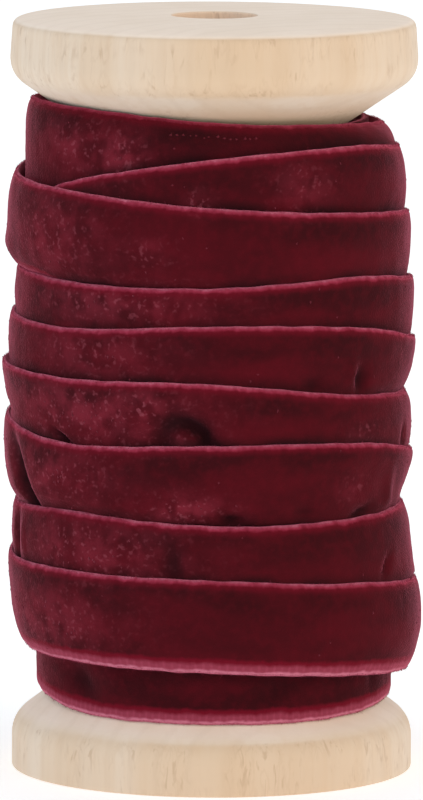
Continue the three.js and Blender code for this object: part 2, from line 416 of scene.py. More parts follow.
spool_outline = rounded_outline([
    (BORE_RADIUS, 0, BORE_CHAMFER),
    (BASE_RIM["radius"], 0, BASE_RIM["edge"]),
    (BASE_RIM["radius"], BASE_RIM["height"], BASE_RIM["shoulder"]),
    (BARREL_RADIUS, base_bevel(BARREL_RADIUS), 0),
    (BARREL_RADIUS, top_bevel(BARREL_RADIUS), 0),
    (TOP_RIM["radius"], SPOOL_HEIGHT - TOP_RIM["height"], TOP_RIM["shoulder"]),
    (TOP_FACE["radius"], SPOOL_HEIGHT - TOP_FACE["crown"], TOP_RIM["edge"]),
    *crowned_face(),
    (BORE_RADIUS, SPOOL_HEIGHT, BORE_CHAMFER),
])
spool_mesh = turned_mesh("turned_spool", spool_outline, SPOOL_SEGMENTS)
facing_up = np.array([corner.vector.z for corner in spool_mesh.vertex_normals])
# How much each face looks up, for the end grain and its painted light from above.
keep(spool_mesh, "level", np.where(facing_up > 0, facing_up, -UNDERSIDE_SHADED_SHARE * facing_up))
wood_grain = wood_grain_group()
spool_mesh.materials.append(wood("bare_wood", SIDE_GRAIN, END_GRAIN_AND_TOP_LIGHT))
spool_mesh.materials.append(wood("bore_wood", BORE_GRAIN, BORE_GRAIN))
for face in spool_mesh.polygons:
    if face.center.xy.length < BORE_REACH * MM and abs(face.normal.z) < BORE_RISE:
        face.material_index = BORE_SLOT
spool = placed("turned_spool", spool_mesh)
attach(spool, "root")
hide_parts("wooden_spool")


# The inner turns are the ribbon's hidden layers, wound tight on the barrel, with their edges in steps
# under the bevels. They show only as a dark filling where the gap beside a flange lets one look in.
RIBBON_THICKNESS = 0.8
RIBBON_WIDTH = 10.3
CORE_RADIUS = 18.4
CORE_GAP = 0.45
CORE_BOTTOM = 10.0
# Layers beyond this radius stop at a lower top, because the top turn's edge leans in over them.
CORE_LEANED_OVER = 17.1
CORE_LEANED_TOP = 70.5
CORE_SEGMENTS = 128
PILE = {
    "deep": (0.035, 0.0021, 0.0040, 1),
    "lit": (0.103, 0.0028, 0.0080, 1),
    "ruffled": (0.330, 0.0300, 0.0540, 1),
    "tip": (0.330, 0.0740, 0.1020, 1),
}
# Painted shade: the near-black the pile is given in its folds and by the next turn's edge.
PAINTED_SHADE_TONE = (0.012, 0.0024, 0.0034, 1)
# Painted sheen: the red band where the pile rounds over an edge. Painted highlight: part of the pale fray.
EDGE_SHEEN_RED = (0.135, 0.0030, 0.0115, 1)
EDGE_FRAY_AND_HIGHLIGHT = (0.560, 0.1600, 0.2300, 1)
# The thread of each woven edge, and where its red, thread and fray start and are full, in mm from it.
UPPER_EDGE = {
    "tone": (0.345, 0.0350, 0.0700, 1),
    "red": (1.35, 0.10),
    "thread": (0.60, 0.16),
    "fray": (0.28, -0.14),
}
# The lower edges curl in towards the table, and their pale thread and fray partly paint its light.
LOWER_EDGE = {
    "tone": (0.285, 0.0420, 0.0720, 1),
    "red": (1.95, 1.45),
    "thread": (1.45, 0.85),
    "fray": (0.60, 0.22),
}
# How uneven the woven borders are, in mm, how far apart their ribs are and how much thread shows between.
EDGE_RAGGED = {"size": 1.0, "detail": 3.0, "bend": 0.0, "reach": 0.28}
PICK_PITCH = 0.75
RIB_SHARE = 0.80
# The layers of the nap: size in mm, how fine and how bent, the noise values between which each comes in,
# and how strong it is. The patches are drawn out along the ribbon.
NAP_COLOURS = ("Deep", "Lit", "Ruffled", "Tip")
NAP_STREAK = (0.5, 0.5, 1.4)
NAP_LIE_SHARE = 0.30
NAP_PATCHES = {"size": 5.0, "detail": 1.0, "bend": 0.0, "ramp": (0.38, 0.66), "share": 0.38}
NAP_MOTTLE = {"size": 1.1, "detail": 3.0, "bend": 0.0, "ramp": (0.38, 0.70), "share": 0.26}
NAP_CLOUDS = {"size": 2.4, "detail": 3.0, "bend": 0.0, "ramp": (0.36, 0.64), "share": 0.42, "least": 0.07}
NAP_TIPS = {"size": 0.55, "detail": 1.0, "bend": 0.0, "ramp": (0.56, 0.74), "share": 0.50}
NAP_GRAIN = {"size": 0.22, "detail": 4.0, "bend": 0.0}
SHEEN_WEIGHT = 0.80
SHEEN_ROUGHNESS = 0.25
SHEEN_TINT = (1.0, 0.24, 0.36, 1)
PILE_ROUGHNESS = 0.9
PILE_SHINE = 0.08
PILE_BUMP = {"strength": 0.6, "depth": 0.12}


def plus(tree, first, second):
    """The sum of two values."""
    return node(tree, "Math", {0: first, 1: second}, operation="ADD").outputs["Value"]


def pile_nap_group():
    """How the pile's tone shifts as its nap lies this way and that, in patches, clouds and pale tips."""
    tree, given, result = group_of("pile_nap", NAP_COLOURS, ("Ruffle", "Lie"))
    place = node(tree, "TexCoord").outputs["Object"]
    streaked = node(tree, "Mapping", {"Vector": place, "Scale": NAP_STREAK}).outputs["Vector"]

    def layer(where, marks):
        return times(tree, ramped(tree, speckle(tree, where, marks), *marks["ramp"]), marks["share"])

    brushed = plus(tree, layer(place, NAP_CLOUDS), NAP_CLOUDS["least"])
    tone = given["Deep"]
    for share, colour in (
        (times(tree, given["Lie"], NAP_LIE_SHARE), "Lit"),
        (layer(streaked, NAP_PATCHES), "Lit"),
        (layer(place, NAP_MOTTLE), "Lit"),
        (times(tree, brushed, given["Ruffle"]), "Ruffled"),
        (times(tree, layer(place, NAP_TIPS), given["Ruffle"]), "Tip"),
    ):
        tone = mixed(tree, share, tone, given[colour])
    tree.links.new(tone, result["Colour"])
    tree.links.new(speckle(tree, place, NAP_GRAIN), result["Height"])
    return tree


def nap_of(tree, colours, **lay):
    """The pile's nap in a material, in the given colours, with how ruffled it is and how it lies."""
    inputs = {colour: colours[colour.lower()] for colour in NAP_COLOURS}
    return node(tree, "Group", inputs | lay, node_tree=pile_nap).outputs


def pile_surface(name, sheen):
    """A new matt material for pile, with a pink sheen of this weight."""
    return surface(name, {
        "Roughness": PILE_ROUGHNESS,
        "Specular IOR Level": PILE_SHINE,
        "Sheen Weight": sheen,
        "Sheen Roughness": SHEEN_ROUGHNESS,
        "Sheen Tint": SHEEN_TINT,
    })


def velvet():
    """Velvet ribbon: deep pile, pink sheen, painted shade in folds and by the next turn's edge, firm woven
    edges.
    """
    material, tree, shader = pile_surface("wine_velvet", SHEEN_WEIGHT)
    # Pale colour for brushed-up pile, and painted sheen down the sides.
    pile = nap_of(tree, PILE, Ruffle=measured(tree, "brush_and_sheen"), Lie=measured(tree, "lie"))
    # Painted shade in the folds and by the next turn's edge.
    tone = mixed(tree, measured(tree, "painted_shade"), pile["Colour"], PAINTED_SHADE_TONE)
    place = node(tree, "TexCoord").outputs["Object"]
    ragged = node(tree, "MapRange", {
        "Value": speckle(tree, place, EDGE_RAGGED),
        "To Min": -EDGE_RAGGED["reach"],
        "To Max": EDGE_RAGGED["reach"],
    }).outputs["Result"]
    wave = times(tree, measured(tree, "along_mm"), 2 * math.pi / PICK_PITCH)
    picks = node(tree, "Math", {0: wave}, operation="SINE").outputs["Value"]
    ribs = node(tree, "MapRange", {"Value": picks, "To Min": RIB_SHARE}).outputs["Result"]
    # Painted sheen and highlight along each edge, over its woven thread.
    for side, border in (("upper_mm", UPPER_EDGE), ("lower_mm", LOWER_EDGE)):
        from_edge = plus(tree, measured(tree, side), ragged)
        thread = mixed(tree, ribs, EDGE_SHEEN_RED, border["tone"])
        for share, colour in (("red", EDGE_SHEEN_RED), ("thread", thread), ("fray", EDGE_FRAY_AND_HIGHLIGHT)):
            tone = mixed(tree, ramped(tree, from_edge, *border[share]), tone, colour)
    tone = mixed(tree, measured(tree, "woven"), tone, thread)
    tree.links.new(tone, shader.inputs["Base Color"])
    tree.links.new(bumped(tree, pile["Height"], PILE_BUMP), shader.inputs["Normal"])
    return material


def core_outline():
    """Points of the wound layers between the bevels, in radius and height, with a step for each layer."""
    inside = BARREL_RADIUS + CORE_GAP
    layers = np.arange(inside, CORE_RADIUS, RIBBON_THICKNESS)
    lower, upper = [], []
    for inner in layers:
        outer = min(inner + RIBBON_THICKNESS, CORE_RADIUS)
        foot = max(base_bevel(inner) + CORE_GAP, CORE_BOTTOM)
        head = top_bevel(inner) - CORE_GAP
        if outer > CORE_LEANED_OVER:
            head = min(head, CORE_LEANED_TOP)
        lower += [(inner, foot), (outer, foot)]
        upper += [(inner, head), (outer, head)]
    return lower + upper[::-1]


pile_nap = pile_nap_group()
wine_velvet = velvet()
inner_mesh = turned_mesh("inner_turns", core_outline(), CORE_SEGMENTS)
for edge_side in ("upper_mm", "lower_mm"):
    keep(inner_mesh, edge_side, np.full(len(inner_mesh.vertices), RIBBON_WIDTH / 2))
inner_mesh.materials.append(wine_velvet)
inner_turns = placed("inner_turns", inner_mesh)
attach(inner_turns, "root")
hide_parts("ribbon_winding")


# The ribbon is one length of dark red velvet about 10 mm wide, with a short dense pile on its outer side
# and firm woven edges. It goes once round the top of the spool, then steps down in eight overlapping turns,
# each lying over the lower part of the turn above it. Its end is cut square behind.
EDGE_THICKNESS = 0.3
# The places round the spool that the tables give, in turns from the front.
PLACES = {
    "left": -0.25,
    "front left": -0.125,
    "front": 0.0,
    "front right": 0.125,
    "right": 0.25,
    "back": 0.5,
}
EDGE_PLACES = tuple(PLACES)
FORM_PLACES = ("left", "front", "right", "back")
# The first row of each table is this turn. The ribbon starts out of sight near the front and ends behind.
FIRST_TURN = -2
RIBBON_START = -1.95
RIBBON_END = 7.4
# Height of the upper edge at each place, a row for each turn from the hidden start to the lowest.
EDGE_HEIGHTS = (
    (69.0, 69.0, 69.2, 69.8, 70.8, 72.6),
    (74.6, 74.45, 73.4, 72.8, 72.0, 70.8),
    (62.8, 66.9, 69.7, 70.6, 69.45, 68.9),
    (66.5, 65.7, 64.5, 63.4, 62.2, 59.0),
    (56.3, 55.7, 55.8, 56.4, 54.9, 52.7),
    (51.0, 50.7, 51.7, 50.9, 48.2, 46.6),
    (45.5, 45.3, 45.4, 43.5, 42.3, 41.5),
    (39.6, 38.1, 38.7, 38.2, 35.8, 32.4),
    (30.0, 30.6, 29.8, 29.8, 29.8, 27.3),
    (24.3, 24.1, 23.9, 22.75, 21.35, 20.2),
)
# Radius just under the upper edge.
LIP_RADII = (
    (19.2, 19.2, 19.2, 19.9),
    (20.8, 20.5, 20.2, 21.3),
    (21.7, 21.7, 20.85, 21.8),
    (22.3, 22.5, 21.95, 22.5),
    (21.9, 22.4, 22.45, 22.6),
    (22.7, 22.6, 22.8, 22.7),
    (23.75, 22.9, 22.05, 22.8),
    (23.3, 22.9, 23.4, 22.6),
    (22.27, 22.4, 21.5, 22.5),
    (22.95, 22.8, 23.0, 22.7),
)
# How far the middle swells out or sinks in.
BELLIES = (
    (0.0, 0.0, 0.0, 0.0),
    (0.0, 0.0, 0.0, 0.0),
    (0.0, 0.0, 0.42, 0.0),
    (0.5, 0.1, -0.15, -0.3),
    (0.1, -0.5, -0.3, -0.3),
    (0.0, -0.3, -0.8, -0.5),
    (-0.9, -0.5, 0.0, -0.2),
    (-0.15, -0.3, -2.1, -0.6),
    (0.0, 0.0, 0.5, 0.0),
    (-0.5, 0.1, 0.3, 0.1),
)
# How far the upper edge leans in and the lower edge is drawn in.
LEANS = (
    (0.8, 0.8, 0.8, 1.0),
    (0.6, 2.2, 1.7, 0.6),
    (0.4, 0.4, 0.4, 0.4),
    (0.4, 0.4, 0.4, 0.4),
    (0.4, 0.4, 0.4, 0.4),
    (0.4, 0.4, 0.4, 0.4),
    (0.4, 0.4, 0.8, 0.4),
    (0.4, 0.4, 1.4, 0.4),
    (0.4, 0.4, 0.4, 0.4),
    (0.4, 0.4, 0.4, 0.4),
)
TUCKS = (
    (0.0, 0.0, 0.0, 0.0),
    (0.0, 0.0, 0.0, 0.6),
    (1.5, 1.8, 0.6, 1.8),
    (0.9, 2.0, 2.0, 2.0),
    (2.2, 2.2, 2.2, 2.2),
    (2.2, 2.2, 2.2, 2.2),
    (2.2, 2.2, 2.2, 2.2),
    (2.1, 2.6, 2.2, 2.2),
    (2.2, 1.6, -2.0, 1.6),
    (2.2, 0.8, 1.3, 1.6),
)
# How close to the edges the lean and the tuck stay: more for closer.
LEAN_SHARPNESS = 8
TUCK_SHARPNESS = 4
# Dents and folds that show: which turn, degrees to the right of the front, mm below the upper edge,
# half sizes along and across in mm, slant in degrees, how far it rises (or sinks, below zero) and how
# firm its sides are, 1 for a soft trough or ridge and more for one with steep sides.
CREASE_COLUMNS = ("turn", "angle", "below", "long", "wide", "slant", "rise", "firm")
CREASES = (
    (-1, -2.0, 1.3, 9.0, 0.8, 0, -0.45, 1),
    (1, -90.0, 8.5, 6.0, 1.9, 0, 0.78, 1),
    (3, 30.5, 6.4, 1.7, 0.8, 0, -0.6, 1),
    (3, 44.0, 4.9, 0.7, 1.3, 0, 0.35, 1),
    (3, 48.0, 5.8, 1.0, 1.5, 0, -0.9, 1),
    (3, 90.0, 6.0, 6.0, 1.6, 0, -0.65, 1),
    (4, -47.5, 6.8, 1.5, 0.38, 26, -1.4, 1.2),
    (4, -90.0, 5.1, 4.0, 0.9, 0, -0.45, 1),
    (4, -28.0, 5.4, 1.2, 1.3, 0, -0.4, 1),
    (4, -8.2, 6.0, 3.5, 2.6, 0, -1.05, 1.7),
    (4, -12.8, 4.0, 1.7, 1.2, -30, -0.25, 1),
    (4, -5.4, 4.9, 1.9, 0.65, 30, -1.0, 1.1),
    (4, -2.3, 6.5, 0.65, 1.2, 0, -0.7, 1),
    (4, -7.8, 7.0, 1.9, 1.7, 0, 1.6, 1.4),
    (4, 73.0, 4.9, 0.6, 1.3, 0, -0.5, 1),
    (5, -66.0, 6.6, 4.3, 1.3, 62, -2.2, 1),
    (5, 5.5, 8.2, 1.5, 0.6, 0, -1.0, 1),
    (5, 28.0, 7.6, 1.3, 0.6, 0, -0.5, 1),
    (5, 50.0, 7.7, 2.2, 0.6, -15, -0.9, 1),
    (5, 64.0, 5.0, 1.1, 2.4, 0, 0.3, 1),
    (5, 90.0, 5.7, 4.0, 1.2, 0, -0.45, 1),
    (6, -76.0, 3.7, 0.8, 2.5, 0, -1.0, 1),
    (6, -69.0, 3.7, 0.5, 2.3, 0, 0.3, 1),
    (6, -11.3, 4.2, 1.3, 2.2, 0, -0.8, 1),
    (6, -7.0, 3.4, 0.7, 1.6, 0, 0.25, 1),
    (6, 59.4, 6.0, 1.4, 0.4, -50, -0.6, 1),
)
# Small unevenness all over, and along the edges, in mm.
LUMPS = (
    {"size": 2.4, "rise": 0.05},
    {"size": 1.0, "rise": 0.035},
)
EDGE_WOBBLE = {"size": 2.2, "rise": 0.10}
STEP_ALONG = 0.55
# Where a section of the strip has points, in mm below the upper edge: down the pile side and up the back.
PILE_POINTS = (0.0, 0.06, 0.16, 0.32, 0.55, 0.85, 1.2, 1.6, 2.05, 2.5, 3.0, 3.5, 4.0, 4.5, 5.0, 5.5, 6.0,
               6.5, 7.0, 7.5, 8.0, 8.45, 8.85, 9.2, 9.5, 9.75, 9.95, 10.15, 10.3)
BACK_POINTS = (10.1, 9.0, 7.5, 5.0, 2.5, 1.0, 0.2)
# How far from an edge the pile rounds off, how much it falls there, and how far from an edge the woven side
# has sunk to clear the folds.
PILE_ROUNDING = 0.7
PILE_SHOULDER = 0.35
FOLD_MARGIN = 2.0
# The top turn's upper edge curls in up to this turn, and so much of its woven border is out of sight.
CURLED_UNTIL = -0.6
CURLED_IN = 0.20
# How deep a fold is for full painted shade, the most that shows, and the painted shade by the next turn's
# edge.
FOLD_SHADE_DEPTH = 1.1
PAINTED_SHADE_MOST = 0.88
NEXT_EDGE_SHADE = {"most": 0.9, "reach": 1.1, "size": 5.0, "usual": 0.5}
# Where the nap starts to show its lit side and shows it in full, in mm below the upper edge, how near the
# next turn's edge and its own lower edge painted shade darkens it again, and how much.
LIE_FROM = 2.2
LIE_FULL = 5.0
NEXT_EDGE_SHADE_REACH = 1.3
OWN_EDGE_SHADE_REACH = 4.0
EDGE_SHADE_SHARE = 0.9
# How a turn is pressed in by the next one: how steeply it comes out above that one's edge, how softly, how
# wide an overlap presses it, how fast a narrower one lets go, and how fast overlap is lost past the end.
PRESS_SLOPE = 0.7
PRESS_SOFTNESS = 0.08
PRESS_OVERLAP = 0.3
PRESS_RELEASE = 6
PAST_END = 1000
# How much of the lower woven border is out of sight where the next turn covers that edge.
COVERED_EDGE = 2.3
# Steps to a turn for measuring the ribbon's length.
LENGTH_STEPS = 72
# Patches where the pile is brushed up and shows its pale tips; the tall strips at the far left and right,
# and part of the paleness on the left, are painted sheen: degrees to the right of the front, height, half
# sizes along and up in mm, and how strong it is.
BRUSH_AND_SHEEN_COLUMNS = ("angle", "height", "long", "tall", "amount")
RUFFLES_AND_SHEEN = (
    # The tall strips at about a quarter turn to each side are painted sheen.
    (-80, 40.0, 9.0, 32.0, 0.34),
    (-88, 40.0, 4.5, 32.0, 0.55),
    (-46, 70.5, 6.0, 3.0, 0.55),
    (-30, 69.9, 3.2, 2.6, 0.80),
    (-4, 65.1, 1.3, 1.1, 0.90),
    (27, 66.4, 3.5, 2.6, 0.45),
    (-54, 60.8, 8.0, 4.5, 0.60),
    (-18, 59.4, 2.8, 1.5, 0.50),
    (-33, 54.0, 11.5, 2.3, 0.62),
    (-37, 48.3, 8.5, 3.0, 0.48),
    (-40, 41.7, 12.0, 3.6, 0.75),
    (-19, 42.6, 2.2, 2.2, 0.85),
    (-7.6, 39.4, 1.5, 1.0, 0.50),
    (-49, 34.6, 7.5, 3.5, 0.65),
    (-8, 31.7, 4.2, 1.6, 0.75),
    (-40, 26.8, 11.0, 3.6, 0.60),
    (-54, 18.3, 9.5, 4.2, 0.60),
    (46, 33.0, 2.6, 1.6, 0.38),
    (50, 39.2, 3.0, 1.2, 0.50),
    (84, 35.5, 3.6, 8.5, 0.50),
    (88, 44.0, 2.6, 30.0, 0.32),
    (110, 45.0, 12.0, 10.0, 0.40),
    (160, 60.0, 16.0, 6.0, 0.50),
    (200, 30.0, 16.0, 7.0, 0.55),
)


def along_run(places, rows, first_turn):
    """A smooth value along the ribbon's run, from a table with a row for each turn."""
    turns = np.array([first_turn + i + PLACES[place] for i in range(len(rows)) for place in places])
    values = np.array(rows, float).ravel()
    slopes = np.empty_like(values)
    slopes[1:-1] = (values[2:] - values[:-2]) / (turns[2:] - turns[:-2])
    slopes[0], slopes[-1] = slopes[1], slopes[-2]

    def value(turn):
        i = np.clip(np.searchsorted(turns, turn, side="right") - 1, 0, len(turns) - 2)
        gap = turns[i + 1] - turns[i]
        s = (turn - turns[i]) / gap
        return ((1 + 2 * s) * (1 - s) ** 2 * values[i] + s * (1 - s) ** 2 * gap * slopes[i]
                + s ** 2 * (3 - 2 * s) * values[i + 1] + s ** 2 * (s - 1) * gap * slopes[i + 1])

    return value


def smooth_noise(points, size):
    """Noise from -1 to 1 at points in millimetres, with lumps about this many millimetres across."""
    flat = np.asarray(points, float).reshape(-1, 3) / size
    values = np.fromiter((noise.noise(point) for point in flat.tolist()), float, len(flat))
    return values.reshape(np.shape(points)[:-1])


def creased(run, turn, below):
    """How far the ribbon's dents and folds raise it."""
    rise = np.zeros(np.broadcast(turn, below).shape)
    for crease in run.creases:
        fold = SimpleNamespace(**dict(zip(CREASE_COLUMNS, crease)))
        along = (turn - fold.turn - fold.angle / 360) * 2 * math.pi * run.lip(turn)
        across = below - fold.below
        slant = math.radians(fold.slant)
        lengthwise = along * math.cos(slant) + across * math.sin(slant)
        crosswise = across * math.cos(slant) - along * math.sin(slant)
        far = (lengthwise / fold.long) ** 2 + (crosswise / fold.wide) ** 2
        rise = rise + fold.rise * np.exp(-far ** fold.firm)
    return rise


def overlap(run, turn):
    """How far the next turn, where it lies lower, reaches up over this one's lower edge, in mm."""
    over = np.minimum(turn + 1, run.end)
    lower_by = run.edge(turn) - run.edge(over)
    return np.minimum(RIBBON_WIDTH - lower_by, lower_by) - PAST_END * np.maximum(turn + 1 - run.end, 0)


def pressed(run, turn, below, radius):
    """Radius where the next turn lies over this one, which is pressed in until it passes under its edge."""
    over = np.minimum(turn + 1, run.end)
    above = np.maximum(run.edge(turn) - below - run.edge(over), 0)
    bare = np.maximum(PRESS_OVERLAP - overlap(run, turn), 0)
    room = run.lip(over) - run.lean(over) - PILE_SHOULDER + PRESS_SLOPE * above + PRESS_RELEASE * bare
    return radius - PRESS_SOFTNESS * np.logaddexp(0, (radius - room) / PRESS_SOFTNESS)


def by_next_edge(run, turn, below, reach):
    """How near a place is to the next turn's upper edge: 1 at it, and 0 from this many millimetres off."""
    over = np.minimum(turn + 1, run.end)
    above = np.where(turn + 1 < run.end, run.edge(turn) - below - run.edge(over), RIBBON_WIDTH)
    return np.clip(1 - np.abs(above) / reach, 0, 1)


def nap_lie(run, turn, below):
    """How far the nap shows its lit side: most on the lower half, with painted shade by the edges below it.
    """
    lit = np.clip((below - LIE_FROM) / (LIE_FULL - LIE_FROM), 0, 1)
    by_own_edge = np.clip(1 - (RIBBON_WIDTH - below) / OWN_EDGE_SHADE_REACH, 0, 1)
    return lit * (1 - EDGE_SHADE_SHARE * np.maximum(by_next_edge(run, turn, below, NEXT_EDGE_SHADE_REACH), by_own_edge))


def painted_shade(run, turn, below, spots):
    """How dark the pile is painted as shade: in the folds by their depth, and unevenly by the next turn's
    edge.
    """
    fold_shade = -creased(run, turn, below) / FOLD_SHADE_DEPTH
    uneven = np.clip(NEXT_EDGE_SHADE["usual"] + smooth_noise(spots, NEXT_EDGE_SHADE["size"]), 0, 1)
    edge_shade = NEXT_EDGE_SHADE["most"] * uneven * by_next_edge(run, turn, below, NEXT_EDGE_SHADE["reach"])
    return np.clip(np.maximum(fold_shade, edge_shade), 0, PAINTED_SHADE_MOST)


def ribbon_form(run, turn, below):
    """Radius of the smooth ribbon, before its folds and lumps, at a distance below its upper edge."""
    share = below / RIBBON_WIDTH
    radius = (run.lip(turn) + run.belly(turn) * np.sin(math.pi * share)
              - run.lean(turn) * (1 - share) ** LEAN_SHARPNESS - run.tuck(turn) * share ** TUCK_SHARPNESS)
    for from_edge in (below, RIBBON_WIDTH - below):
        inside = np.clip(1 - from_edge / PILE_ROUNDING, 0, 1)
        radius = radius - PILE_SHOULDER * (1 - np.sqrt(1 - inside ** 2))
    return radius


def pile_face(run, turn, below):
    """Radius and height of the pile side, with its folds and lumps."""
    radius = pressed(run, turn, below, ribbon_form(run, turn, below) + creased(run, turn, below))
    height = run.edge(turn) - below
    spots = round_spool(turn, radius, height)
    for lump in LUMPS:
        radius = radius + lump["rise"] * smooth_noise(spots, lump["size"])
    return radius, height + EDGE_WOBBLE["rise"] * smooth_noise(spots, EDGE_WOBBLE["size"])


def thickness(below):
    """How thick the ribbon is at a distance below its upper edge: thin at the woven edges."""
    from_edge = np.minimum(below, RIBBON_WIDTH - below)
    share = np.clip(from_edge / PILE_ROUNDING, 0, 1)
    return EDGE_THICKNESS + (RIBBON_THICKNESS - EDGE_THICKNESS) * share ** 2 * (3 - 2 * share)


def woven_face(run, turn, below):
    """Radius and height of the plain woven side, which sinks enough to clear the pile side's folds."""
    deepest = creased(run, turn, np.array(PILE_POINTS)[None, :]).min(axis=1, keepdims=True)
    from_edge = np.minimum(below, RIBBON_WIDTH - below)
    sunk = np.minimum(deepest, 0) * np.clip(from_edge / FOLD_MARGIN, 0, 1)
    radius = pressed(run, turn, below, ribbon_form(run, turn, below))
    return radius - thickness(below) + sunk, run.edge(turn) - below


def ruffled(points):
    """How much the pile is brushed up, with its painted sheen, at points on the winding, from 0 to 1."""
    angle = np.degrees(np.arctan2(points[..., 0], -points[..., 1]))
    reach = np.hypot(points[..., 0], points[..., 1])
    amount = np.zeros(angle.shape)
    for patch in RUFFLES_AND_SHEEN:
        row = SimpleNamespace(**dict(zip(BRUSH_AND_SHEEN_COLUMNS, patch)))
        turn_by = np.radians((angle - row.angle + 180) % 360 - 180)
        far = (turn_by * reach / row.long) ** 2 + ((points[..., 2] - row.height) / row.tall) ** 2
        amount = np.maximum(amount, row.amount * np.exp(-far))
    return amount


def run_length(run):
    """How long the ribbon is along its middle, in millimetres."""
    turn = np.linspace(run.start, run.end, round((run.end - run.start) * LENGTH_STEPS) + 1)
    middle = round_spool(turn, run.lip(turn), run.edge(turn) - RIBBON_WIDTH / 2)
    return np.linalg.norm(np.diff(middle, axis=0), axis=1).sum()


def ribbon_strip(name, run):
    """A closed strip of ribbon along a run, with what its material needs to know kept at each point."""
    turn = np.linspace(run.start, run.end, round(run_length(run) / STEP_ALONG) + 1)[:, None]
    front = np.array(PILE_POINTS)[None, :]
    back = np.array(BACK_POINTS)[None, :]
    points = np.concatenate([
        round_spool(turn, *pile_face(run, turn, front)),
        round_spool(turn, *woven_face(run, turn, back)),
    ], axis=1)
    steps, count = points.shape[:2]
    faces = [tuple(range(count))[::-1], tuple(range((steps - 1) * count, steps * count))]
    for step in range(steps - 1):
        here, beyond = step * count, (step + 1) * count
        for i in range(count):
            after = (i + 1) % count
            faces.append((here + i, here + after, beyond + after, beyond + i))
    mesh = mesh_of(name, points, faces)
    mesh.shade_smooth()
    below = np.concatenate([front, back], axis=1).repeat(steps, axis=0)
    keep(mesh, "upper_mm", below + np.where(turn < CURLED_UNTIL, CURLED_IN, 0))
    hidden = np.clip(overlap(run, turn) / PRESS_OVERLAP, 0, 1)
    keep(mesh, "lower_mm", RIBBON_WIDTH - below + COVERED_EDGE * hidden)
    keep(mesh, "along_mm", np.broadcast_to(turn * 2 * math.pi * run.lip(run.start), below.shape))
    keep(mesh, "woven", np.broadcast_to(np.arange(count) >= len(PILE_POINTS), below.shape))
    # Brushed-up pile, and painted sheen down the sides.
    keep(mesh, "brush_and_sheen", ruffled(points))
    keep(mesh, "lie", run.lie * nap_lie(run, turn, below))
    # Painted shade in the folds and by the next turn's edge.
    keep(mesh, "painted_shade", painted_shade(run, turn, below, points))
    mesh.materials.append(wine_velvet)
    strip = placed(name, mesh)
    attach(strip, "root")
    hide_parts("ribbon_winding")
    return strip


outer_run = SimpleNamespace(
    start=RIBBON_START,
    end=RIBBON_END,
    edge=along_run(EDGE_PLACES, EDGE_HEIGHTS, FIRST_TURN),
    lip=along_run(FORM_PLACES, LIP_RADII, FIRST_TURN),
    belly=along_run(FORM_PLACES, BELLIES, FIRST_TURN),
    lean=along_run(FORM_PLACES, LEANS, FIRST_TURN),
    tuck=along_run(FORM_PLACES, TUCKS, FIRST_TURN),
    lie=1.0,
    creases=CREASES,
)
ribbon = ribbon_strip("velvet_ribbon", outer_run)


# The lowest inner turn is the same ribbon, laid on the inner turns close to the lower flange. It goes once
# round, then rises out of sight under the outer turns, so only its lower half shows.
LOW_FIRST_TURN = -1
LOW_START = -0.6
LOW_END = 0.8
# Height of the lower edge at each place, and the radius there.
FOOT_HEIGHTS = (
    (8.6, 8.6, 8.6, 8.6, 8.6, 8.6),
    (9.2, 7.8, 7.6, 7.6, 8.4, 9.0),
    (14.0, 15.0, 15.0, 15.0, 15.0, 15.0),
)
LOW_RADII = (
    (19.7, 19.7, 19.7, 19.7),
    (19.5, 19.8, 19.95, 20.1),
    (20.2, 20.2, 20.2, 20.2),
)
LOW_TUCK = 0.05
# Painted shade: the lowest turn, under the outer turns, shows little of the nap's lit side.
LOW_SHADED_LIE = 0.1
LOW_CREASES = (
    (0, -47.0, 6.7, 2.4, 1.6, 40, -0.75, 1),
    (0, -33.5, 5.8, 1.6, 1.5, 0, 0.35, 1),
    (0, 21.0, 6.5, 2.2, 1.0, -20, -0.35, 1),
    (0, 62.0, 6.4, 0.8, 2.0, 0, -0.2, 1),
)
foot_height = along_run(EDGE_PLACES, FOOT_HEIGHTS, LOW_FIRST_TURN)
low_run = SimpleNamespace(
    start=LOW_START,
    end=LOW_END,
    edge=lambda turn: foot_height(turn) + RIBBON_WIDTH,
    lip=along_run(FORM_PLACES, LOW_RADII, LOW_FIRST_TURN),
    belly=np.zeros_like,
    lean=np.zeros_like,
    tuck=lambda turn: np.full_like(turn, LOW_TUCK),
    lie=LOW_SHADED_LIE,
    creases=LOW_CREASES,
)
low_turn = ribbon_strip("lowest_inner_turn", low_run)


# Fibres stand along the ribbon's edges, where the cut pile ends and its threads splay out past the weave.
# Each is one fine pointed thread of the pile, and all of them are one joined mesh.
FIBRE = {
    "deep": (0.270, 0.0280, 0.0600, 1),
    "lit": (0.350, 0.0480, 0.0950, 1),
    "ruffled": (0.440, 0.0680, 0.1180, 1),
    "tip": (0.480, 0.0850, 0.1400, 1),
}
FIBRE_SHEEN = 0.30
FIBRE_LIE = 0.5
FIBRE_RUFFLE = 0.5
# How thick a fibre is at its root, how many there are, how long they are and how far in from the edge they
# root, in mm, and how many strays there are and how much longer those are.
FIBRE_RADIUS = 0.018
FIBRES_PER_MM = 20
FIBRE_LENGTHS = (0.08, 0.26)
FIBRE_BAND = 0.30
STRAY_SHARE = 0.02
STRAY_STRETCH = 2.4
FIBRE_SEED = 11
# How far the fibres splay outwards, least and most, and usually along the edge, as shares of their rise.
FIBRE_SPLAY = {"outward": (-0.1, 0.9), "onward": 0.45}
# A direction along which no fibre is likely to point, for finding the sides of each one.
FIBRE_SIDE = (0.36, 0.48, 0.80)
# The corners of each side of a fibre: three round its root, then its tip.
FIBRE_FACES = ((0, 1, 3), (1, 2, 3), (2, 0, 3), (0, 2, 1))
QUARTER_TURN = 0.25
